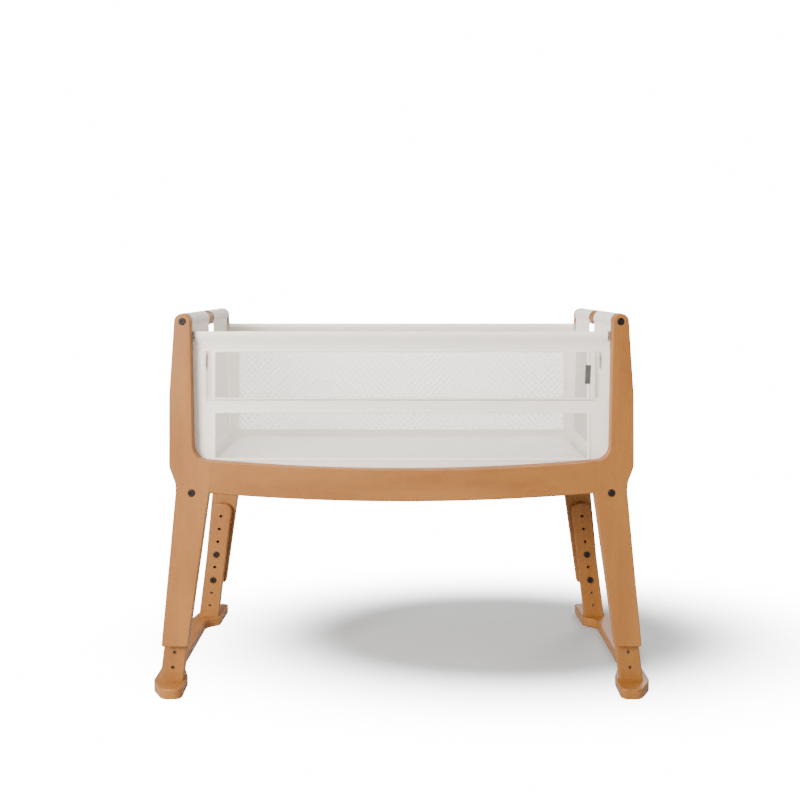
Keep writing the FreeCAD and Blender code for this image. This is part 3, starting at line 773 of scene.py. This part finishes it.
lower_net, lower_binding, seams = window_goods("front_lower", UPPER_X, LOWER_Z, FRONT_Y, sides=(-1,))
finish_cloth(lower_net, "stand", net_thread, "net", "front_lower_mesh")
finish_cloth(lower_binding, "stand", binding_cotton, "cotton")
finish_cloth(join("front_lower_stitches", seams), "stand", sewing_thread, "cotton")
print("lower panel", len(fixed_panel.data.polygons), "faces, net", len(lower_net.data.polygons))

# %% [markdown]
# ## The fold
#
# Between the two halves runs a shallow groove: the drop panel bends there. It is a narrow tape set behind
# the cloth, drawn a little unevenly by its seam. When the panel folds down the tape has to bend from one
# half to the other; here it rides on neither half.

# %% The fold tape
FOLD_REACH = 0.0062
FOLD_SET_BACK = 0.0012
TAPE_CLOTH = 0.0006
fold_y = FRONT_Y + FOLD_SET_BACK
fold_range = (FOLD_Z - FOLD_REACH, FOLD_Z + FOLD_REACH)
fold_tape = upright_grid("fold_tape", (-ZIP_X, ZIP_X), fold_range, fold_y, 0.0012)
ripple(fold_tape, depth=0.001, size=0.012)
thicken(fold_tape, TAPE_CLOTH)
# the tape's darker colour is painted shade in the groove between the halves
fold_tape.data.materials.append(fold_painted_shade)
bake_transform(fold_tape)
print("fold tape", len(fold_tape.data.polygons), "faces")

# %% [markdown]
# ## Corner strips and zips
#
# A nylon zip has two rows of teeth on two tapes. One tooth is a small rounded block. It is modelled once and
# an array repeats it up the tape, and the second row is the first one moved up by half a pitch, so that the
# teeth mesh. Coil zips could be made as a helix, but at this size the separate teeth read better.

# %% Corner strips
strip_low, strip_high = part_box("right_corner_panel")
STRIP_LAP = 0.004
STRIP_LIFT = 0.0009
SEAM_OFFSET = Vector((0.0085, -CLOTH / 2 - 0.001))

strip_x = (strip_low.x, strip_high.x)
strip_z = (FOLD_Z - STRIP_LAP, strip_high.z)
right_strip = upright_grid("right_corner_strip", strip_x, strip_z, FRONT_Y - STRIP_LIFT, 0.004)
ripple(right_strip, depth=0.0008, size=0.03)
thicken(right_strip, CLOTH)
seam_x, seam_y = SEAM_OFFSET + Vector((strip_low.x, FRONT_Y))
seam_ends = ((seam_x, seam_y, strip_low.z + 0.002), (seam_x, seam_y, strip_high.z - 0.001))
right_seam = stitched("right_corner_strip_seam", *seam_ends)
for side, strip in both_sides(right_strip):
    finish_cloth(strip, "stand", panel_cotton, "cotton", side + "_corner_panel")
for side, seam in both_sides(right_seam):
    finish_cloth(seam, "stand", sewing_thread, "cotton")

# %% Zip teeth and tapes
TOOTH = (0.0017, 0.0008, 0.00085)
TOOTH_PITCH = 0.0017
TOOTH_ROUND = 0.00028
TAPE_EDGE = 0.0012
TAPE_WIDTH = 0.0062
coil_low, coil_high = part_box("right_corner_coil")
TOOTH_Y = (coil_low.y + coil_high.y) / 2


def zip_half(name, side, lift):
    """One tape of the right zip with its teeth: side is -1 towards the drop panel."""
    edge = ZIP_X + WINDOW_SEAM + side * 0.0001
    clear_table()
    place = (edge + side * TOOTH[0] * 0.72, TOOTH_Y, coil_low.z + TOOTH[2] + lift)
    bpy.ops.mesh.primitive_cube_add(size=2, location=place)
    tooth = settle(name)
    open_all(tooth)
    bpy.ops.transform.resize(value=(TOOTH[0], TOOTH[1], TOOTH[2] * 0.55), center_override=place)
    bpy.ops.mesh.bevel(offset=TOOTH_ROUND, segments=2)
    shut()
    repeat(tooth, int((coil_high.z - coil_low.z) / TOOTH_PITCH), (0, 0, TOOTH_PITCH))
    tape_x = sorted((edge + side * TAPE_EDGE, edge + side * (TAPE_EDGE + TAPE_WIDTH)))
    tape_z = (coil_low.z - 0.002, coil_high.z)
    tape = upright_grid(name + "_tape", tape_x, tape_z, TOOTH_Y + 0.0005, 0.003)
    thicken(tape, 0.0007)
    return smooth(tooth), tape


for half, way, lift, body in (("drop", -1, 0.0, "drop_side"), ("corner", 1, TOOTH_PITCH / 2, "stand")):
    right_teeth, right_tape = zip_half(f"right_{half}_zip_teeth", way, lift)
    for side, teeth in both_sides(right_teeth):
        node = side + "_corner_coil" if half == "corner" else "drop_panel_coils"
        finish_cloth(teeth, body, nylon_teeth, "zip_coil", node)
    for side, tape in both_sides(right_tape):
        finish_cloth(tape, body, zip_tape_cotton, "cotton")
print("zip teeth", len(right_teeth.data.polygons), "faces a row")

# %% [markdown]
# ## The blank tag
#
# A folded tag is sewn to the net at the right. It is left blank. A strip is laid double, its fold at the
# bottom, and it hangs at a slight slant, as loose tags do.

# %% The tag
TAG_SLANT = -math.radians(2.5)
TAG_FOLD = (0, 0.0009, 0.0008)
TAG_SHORT = 0.001
tag_low, tag_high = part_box("blank_tag")
tag_y = tag_low.y - 0.0003
tag = upright_grid("blank_woven_tag", (tag_low.x, tag_high.x), (tag_low.z, tag_high.z), tag_y, 0.0012)
pick(tag, "edges", lambda a, b: max(a.z, b.z) < tag_low.z + TINY)
extrude(TAG_FOLD)
extrude((0, 0, tag_high.z - tag_low.z - TAG_SHORT))
bpy.ops.mesh.select_all(action="SELECT")
tag_middle = (tag_low + tag_high) / 2
bpy.ops.transform.rotate(value=TAG_SLANT, orient_axis="Y", center_override=tag_middle)
shut()
ripple(tag, depth=0.0008, size=0.012)
thicken(tag, 0.0003)
finish_cloth(tag, "drop_side", label_satin, "tag_weave", "blank_tag")

# %% [markdown]
# ## The back
#
# The back is one cloth from its casing down to the floor of the bed. It has one tall window, whose net is
# woven closer than the front's, and nothing on it opens.

# %% Cut and sew the rear panel
rear_low, rear_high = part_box("rear_panel")
REAR_Y = (rear_low.y + rear_high.y) / 2
REAR_CELL = 0.0038
REAR_HOLE = 0.26
REAR_X, REAR_Z = opening("rear_mesh", "xz")
rear_panel = cloth_with_casing("rear_cloth", REAR_Y, rear_low.z, 1)
slant_corners(rear_panel, fixed_high.x)
open_window(rear_panel, REAR_X, REAR_Z)
ripple(rear_panel, depth=0.0009, size=0.06)
thicken(rear_panel, CLOTH)
finish_cloth(rear_panel, "stand", panel_cotton, "cotton", "rear_panel")

rear_net, rear_tape, seams = window_goods("rear", REAR_X, REAR_Z, REAR_Y, REAR_CELL, REAR_HOLE)
finish_cloth(rear_net, "stand", net_thread, "net", "rear_mesh")
finish_cloth(rear_tape, "stand", binding_cotton, "cotton")
seams.append(casing_seam(REAR_Y + SEAM_LAP - CLOTH))
finish_cloth(join("rear_stitches", seams), "stand", sewing_thread, "cotton")
print("rear panel", len(rear_panel.data.polygons), "faces, net", len(rear_net.data.polygons))

# %% [markdown]
# ## The ends
#
# Each end is a cloth that hangs from two sleeves on the end rod and leans in to the cross rail. A hand gap
# is left at the top, so that the bed can be carried by the bare rod. The wall is cut flat and upright first,
# and then the whole of it is turned about its top edge to lean as it should. The net of the ends is made of
# thicker threads than the others, and coloured darker: partly a greyer thread, mostly painted shade, because
# the light never falls on it squarely.

# %% Cut an end wall
wall_low, wall_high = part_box("right_end_wall")
sleeve_low, sleeve_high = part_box("right_rod_sleeves")
ROD = Vector(((sleeve_low.x + sleeve_high.x) / 2, 0, (sleeve_low.z + sleeve_high.z) / 2))
SLEEVE_R = (sleeve_high.x - sleeve_low.x) / 2
WALL_SKIN = 0.0007
LEAN = math.atan2(wall_high.x - wall_low.x - 2 * WALL_SKIN, wall_high.z - wall_low.z)
MIDDLE_Y = (wall_low.y + wall_high.y) / 2
GRIP_HALF = 0.03
GRIP_HEM = 0.003
GRIP_Z = 0.69
WALL_LAP = 0.004
END_WINDOW_Y, END_WINDOW_Z = opening("right_end_mesh", "yz")
END_CELL = 0.0046
END_HOLE = 0.6
END_THREAD = 0.0007


def turned_to_end(piece):
    """Takes an upright piece made with y as its x to the right end, where it leans in."""
    open_all(piece)
    bpy.ops.transform.rotate(value=-math.pi / 2, orient_axis="Z", center_override=(0, 0, 0))
    bpy.ops.transform.translate(value=(wall_high.x - WALL_SKIN, 0, 0))
    top = (wall_high.x - WALL_SKIN, MIDDLE_Y, wall_high.z)
    bpy.ops.transform.rotate(value=-LEAN, orient_axis="Y", center_override=top)
    shut()


wall_y = (wall_low.y, wall_high.y)
wall_z = (wall_low.z, wall_high.z + WALL_LAP)
wall = upright_grid("right_end_cloth", wall_y, wall_z, 0, CLOTH_CELL)
open_window(wall, (MIDDLE_Y - GRIP_HALF, MIDDLE_Y + GRIP_HALF), (GRIP_Z, wall_high.z + 0.01))
open_window(wall, END_WINDOW_Y, END_WINDOW_Z)
ripple(wall, depth=0.0012, size=0.05)
thicken(wall, CLOTH)
END_WINDOW = (END_WINDOW_Y, END_WINDOW_Z)
wall_net, wall_binding, seams = window_goods("right_end", *END_WINDOW, 0, END_CELL, END_HOLE)
thicken(wall_net, END_THREAD)
grip_seams = [
    stitched("grip", (MIDDLE_Y + reach, y, GRIP_Z), (MIDDLE_Y + reach, y, wall_high.z))
    for reach in (-GRIP_HALF - GRIP_HEM, GRIP_HALF + GRIP_HEM)
    for y in (-CLOTH / 2, CLOTH / 2)
]
wall_stitches = join("right_end_stitches", grip_seams + seams)
for piece in (wall, wall_net, wall_binding, wall_stitches):
    turned_to_end(piece)
print("end wall leans", round(math.degrees(LEAN), 2), "degrees")

# %% Sew both ends
for (side, cloth), (_, net) in zip(both_sides(wall), both_sides(wall_net)):
    finish_cloth(cloth, "stand", panel_cotton, "cotton", side + "_end_wall")
    # the end nets' dark colour is mostly painted shade
    finish_cloth(net, "stand", end_net_thread, "net", side + "_end_mesh")
for piece, finish in ((wall_binding, binding_cotton), (wall_stitches, sewing_thread)):
    for side, sewn in both_sides(piece):
        finish_cloth(sewn, "stand", finish, "cotton")
print("both ends sewn")

# %% [markdown]
# ## Sleeves
#
# The sleeves on the end rods and on the cross rails are tubes of a heavier, greyer cotton. Each is a
# cylinder with many rings, so that it can crease, and its two ends are turned in, with the raw edge out of
# sight. The creases run round the rod, where the cloth is drawn tight.

# %% Sew the sleeves
SLEEVE_CLOTH = 0.0008
SLEEVE_RING = 0.004
TURNED_IN = ((0.0002, 1.012), (-0.0005, 0.99), (-0.003, 0.96))


def sleeve(name, x, z, y_range):
    """A tube of cloth round a rod, with turned-in ends."""
    length = y_range[1] - y_range[0]
    clear_table()
    bpy.ops.mesh.primitive_cylinder_add(
        vertices=40,
        radius=SLEEVE_R,
        depth=length,
        end_fill_type="NOTHING",
        location=(x, sum(y_range) / 2, z),
        rotation=(math.pi / 2, 0, 0),
    )
    tube = settle(name)
    pick(tube, "edges", lambda a, b: abs(a.y - b.y) > length / 2)
    bpy.ops.mesh.subdivide(number_cuts=round(length / SLEEVE_RING))
    shut()
    ripple(tube, 0.0011, 0.018, "NORMAL", (3, 0.6, 3))
    for end in y_range:
        pick(tube, "edges", lambda a, b: abs(a.y - end) < TINY and abs(b.y - end) < TINY)
        outward = -1 if end == y_range[0] else 1
        for step, share in TURNED_IN:
            extrude((0, outward * step, 0))
            bpy.ops.transform.resize(value=(share, 1, share), center_override=(x, end, z))
        shut()
    apply(tube, "SOLIDIFY", thickness=SLEEVE_CLOTH, offset=-1)
    return smooth(tube, 60)


rod_y = ((sleeve_low.y, MIDDLE_Y - GRIP_HALF), (MIDDLE_Y + GRIP_HALF, sleeve_high.y))
rod_sleeves = [sleeve("right_rod_sleeve", ROD.x, ROD.z, y_range) for y_range in rod_y]
rod_pair = join("right_rod_sleeve_pair", rod_sleeves)
for side, pair in both_sides(rod_pair):
    finish_cloth(pair, "stand", sleeve_cotton, "sleeve_cotton", side + "_rod_sleeves")

cross_low, cross_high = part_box("cross_rail_sleeves")
cross_x, cross_z = cross_high.x - SLEEVE_R, (cross_low.z + cross_high.z) / 2
right_cross = sleeve("right_cross_sleeve", cross_x, cross_z, (cross_low.y, cross_high.y))
for side, cross in both_sides(right_cross):
    finish_cloth(cross, "stand", sleeve_cotton, "sleeve_cotton", "cross_rail_sleeves")

# %% [markdown]
# ## The floor of the bed
#
# A plain cloth is slung between the two cross rails, and the board lies on it. It is seen only from below.
# Two rows of stitches run across it beside each rail.

# %% The sling
sling_low, sling_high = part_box("floor_sling")
sling_x, sling_y = sling_high.x - sling_low.x, sling_high.y - sling_low.y
clear_table()
bpy.ops.mesh.primitive_grid_add(
    x_subdivisions=round(sling_x / CLOTH_CELL),
    y_subdivisions=round(sling_y / CLOTH_CELL),
    size=1,
    location=(sling_low + sling_high) / 2,
)
sling = settle("floor_sling_cloth", (sling_x, sling_y, 1))
ripple(sling, depth=0.0008, size=0.08, direction="Z")
thicken(sling, TAPE_CLOTH)
finish_cloth(sling, "stand", panel_cotton, "cotton", "floor_sling")
under_z = sling_low.z + TAPE_CLOTH / 2
sling_seams = (sling_low.x + 0.012, sling_low.x + 0.018, sling_high.x - 0.018, sling_high.x - 0.012)
sling_rows = [
    stitched("sling", (x, sling_low.y + 0.006, under_z), (x, sling_high.y - 0.006, under_z))
    for x in sling_seams
]
finish_cloth(join("floor_sling_stitches", sling_rows), "stand", sewing_thread, "cotton")
print("sling", round(sling_x, 3), "by", round(sling_y, 3))

# %% [markdown]
# ## The mattress
#
# A thin foam mattress in a fitted jersey cover, with piping round its top and bottom edges. A cushion is
# never a block: its cover is tight over the corners and swells between them. So a slightly small block is
# blown up as cloth for twenty frames, and its growth is capped, so that it stays clear of its neighbours.
# The same block with rounded edges would be quicker, but would stay dead flat.

# %% Blow up the cover
mattress_low, mattress_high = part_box("mattress_cover")
mattress_middle = (mattress_low + mattress_high) / 2
mattress_size = mattress_high - mattress_low
SHRINK = 0.0055
GROWTH = 0.0065
CORNER = 0.03
RIM = 0.008
VOXEL = 0.0062
PRESSURE = 4.0
FRAMES = 20


def mattress_block(name):
    """The mattress before it is filled: a slightly small block with rounded corners."""
    clear_table()
    bpy.ops.mesh.primitive_cube_add(size=1, location=mattress_middle)
    block = settle(name, [side - 2 * SHRINK for side in mattress_size])
    pick(block, "edges", lambda a, b: abs(a.z - b.z) > SHRINK)
    bpy.ops.mesh.bevel(offset=CORNER, segments=6)
    shut()
    pick(block, "faces", lambda place, normal: abs(normal.z) > 0.9)
    bpy.ops.mesh.bevel(offset=RIM, segments=3)
    shut()
    apply(block, "REMESH", mode="VOXEL", voxel_size=VOXEL)
    return block


def blow_up(block):
    """Fills a block as cloth and caps how far each point moves."""
    scene = bpy.context.scene
    start = [v.co.copy() for v in block.data.vertices]
    take(block)
    cloth = block.modifiers.new("cloth", "CLOTH")
    cloth.settings.quality = 6
    cloth.settings.mass = 0.25
    cloth.settings.tension_stiffness = cloth.settings.compression_stiffness = 12
    cloth.settings.bending_stiffness = 0.6
    cloth.settings.use_pressure = True
    cloth.settings.uniform_pressure_force = PRESSURE
    cloth.settings.effector_weights.gravity = 0
    cloth.point_cache.frame_start, cloth.point_cache.frame_end = 1, FRAMES
    for step in range(FRAMES):
        scene.frame_set(step + 1)
    bpy.ops.object.modifier_apply(modifier=cloth.name)
    scene.frame_set(1)
    for vertex, before in zip(block.data.vertices, start):
        moved = vertex.co - before
        if moved.length > GROWTH:
            vertex.co = before + moved * (GROWTH / moved.length)


mattress = mattress_block("mattress")
blow_up(mattress)
apply(mattress, "SMOOTH", factor=0.5, iterations=3)
apply(mattress, "SUBSURF", levels=1, render_levels=1)
smooth(mattress, 180)
finish_cloth(mattress, "mattress", mattress_jersey, "mattress_cloth", "mattress_cover", "mattress_core")
corners = [Vector(corner) for corner in mattress.bound_box]
print("mattress", [round(max(c[i] for c in corners) - min(c[i] for c in corners), 4) for i in range(3)])

# %% Lay the piping on its edges
PIPING_R = 0.0017
PIPING_POINTS = 220
PIPING_DROP = 0.004


def piping(name, height, slope):
    """A thin cord round the mattress where its top or bottom meets its side."""
    half_x, half_y = mattress_size.x / 2, mattress_size.y / 2
    straight = [half_x - CORNER, half_y - CORNER]
    places = []
    for step in range(PIPING_POINTS):
        turn = math.tau * step / PIPING_POINTS
        heading = Vector((math.cos(turn) * half_x, math.sin(turn) * half_y, 0))
        inner_place = Vector([max(-s, min(s, h)) for s, h in zip(straight, heading)] + [0])
        outward = (heading * 1.2 - inner_place).normalized()
        reach = mattress_middle + inner_place + outward * CORNER + slope * UPWARDS * 0.02
        reach.z = height + slope * PIPING_DROP
        places.append(mattress.closest_point_on_mesh(reach)[1])
    curve = bpy.data.curves.new(name, "CURVE")
    curve.dimensions = "3D"
    curve.bevel_depth = PIPING_R
    curve.bevel_resolution = 2
    line = curve.splines.new("POLY")
    line.points.add(len(places) - 1)
    for point, place in zip(line.points, places):
        point.co = (*place, 1)
    line.use_cyclic_u = True
    cord = bpy.data.objects.new(name, curve)
    bring_in(cord)
    take(cord)
    bpy.ops.object.convert(target="MESH")
    return smooth(bpy.context.object, 180)


top_piping = piping("top_piping", mattress_high.z - PIPING_DROP, 1)
bottom_piping = piping("bottom_piping", mattress_low.z + PIPING_DROP, -1)
for cord in (top_piping, bottom_piping):
    finish_cloth(cord, "mattress", binding_cotton, "mattress_cloth")
print("piping", len(top_piping.data.polygons), "faces each")

# %% [markdown]
# ## Floor, light and camera
#
# The floor is a wide pale plane. It shades naturally under the stand and fades to white further out, so that
# it has no horizon. Only the camera sees that white: the light that reaches the bed comes from a big soft
# lamp at the front left, one high above, which draws the shadow between the legs, a weak one behind, which
# reaches the mattress through the rear net, and an even sky.

# %% The floor and the sky
WHITE = 16.0
SKY = 0.55
GREY = 0.55
FADE = {"From Min": 0.45, "From Max": 1.25}
POOL = {"Location": (-0.3, -0.25, 0), "Scale": (1.3, 2.1, 1)}
clear_table()
bpy.ops.mesh.primitive_plane_add(size=60, location=(0, 0, 0))
floor = settle("studio_floor")
floor_finish, tree, shader = new_finish("studio_floor", 0.9, Specular_IOR_Level=0.2)
shader.inputs["Base Color"].default_value = (GREY, GREY, GREY, 1)
place = put(tree, "TexCoord").outputs["Object"]
centred = put(tree, "Mapping", {"Vector": place, **POOL}).outputs["Vector"]
distance = put(tree, "VectorMath", {0: centred}, operation="LENGTH").outputs["Value"]
fade = put(tree, "MapRange", {"Value": distance, **FADE}, interpolation_type="SMOOTHSTEP")
seen = put(tree, "LightPath").outputs["Is Camera Ray"]
share = put(tree, "Math", {0: fade.outputs["Result"], 1: seen}, operation="MULTIPLY").outputs[0]
glow = put(tree, "Emission", {"Color": (1, 1, 1, 1), "Strength": WHITE}).outputs[0]
blend = put(tree, "MixShader", {0: share, 1: shader.outputs[0], 2: glow}).outputs[0]
tree.links.new(blend, tree.nodes["Material Output"].inputs["Surface"])
floor.data.materials.append(floor_finish)

world = bpy.data.worlds.new("studio_sky")
world.use_nodes = True
sky_tree = world.node_tree
background = sky_tree.nodes["Background"]
background.inputs["Color"].default_value = (1, 1, 1, 1)
sky_seen = put(sky_tree, "LightPath").outputs["Is Camera Ray"]
strength = spread(sky_tree, sky_seen, 0, 1, SKY, WHITE)
sky_tree.links.new(strength, background.inputs["Strength"])
bpy.context.scene.world = world
print("floor and sky ready")

# %% The lamps


def soft_lamp(name, place, aim, size, power):
    """A square lamp at a place, turned to its aim."""
    data = bpy.data.lights.new(name, "AREA")
    data.size = size
    data.energy = power
    lamp = bpy.data.objects.new(name, data)
    lamp.location = place
    lamp.rotation_euler = (Vector(aim) - Vector(place)).to_track_quat("-Z", "Y").to_euler()
    bring_in(lamp)


BED_MIDDLE = (0, 0, 0.45)
soft_lamp("front_lamp", (-1.9, -2.8, 1.6), BED_MIDDLE, 1.2, 245)
soft_lamp("high_lamp", (-0.6, -0.6, 2.7), BED_MIDDLE, 1.8, 62)
soft_lamp("rear_lamp", (1.4, 2.6, 1.9), BED_MIDDLE, 1.4, 60)
print("three lamps")

# %% [markdown]
# The camera looks level along the middle of the bed from a little over two metres, just above the rim. It
# is kept level so that the posts stay parallel, and its frame is slid down instead, as with a view camera.

# %% The camera
FOCUS = 1040.3
FRAME = 800
SLIDE = (-1.5, -115.5)
camera_data = bpy.data.cameras.new("camera")
camera = bpy.data.objects.new("camera", camera_data)
bring_in(camera)
camera_data.sensor_width = 36
camera_data.lens = FOCUS / FRAME * camera_data.sensor_width
camera_data.shift_x = SLIDE[0] / FRAME
camera_data.shift_y = SLIDE[1] / FRAME
camera.location = (0, -2.268, 0.8)
camera.rotation_euler = (math.pi / 2, 0, 0)
bpy.context.scene.camera = camera
print("camera at", tuple(camera.location))

# %% [markdown]
# ## Finish
#
# Last, the selection is cleared.

# %% Finish
clear_table()
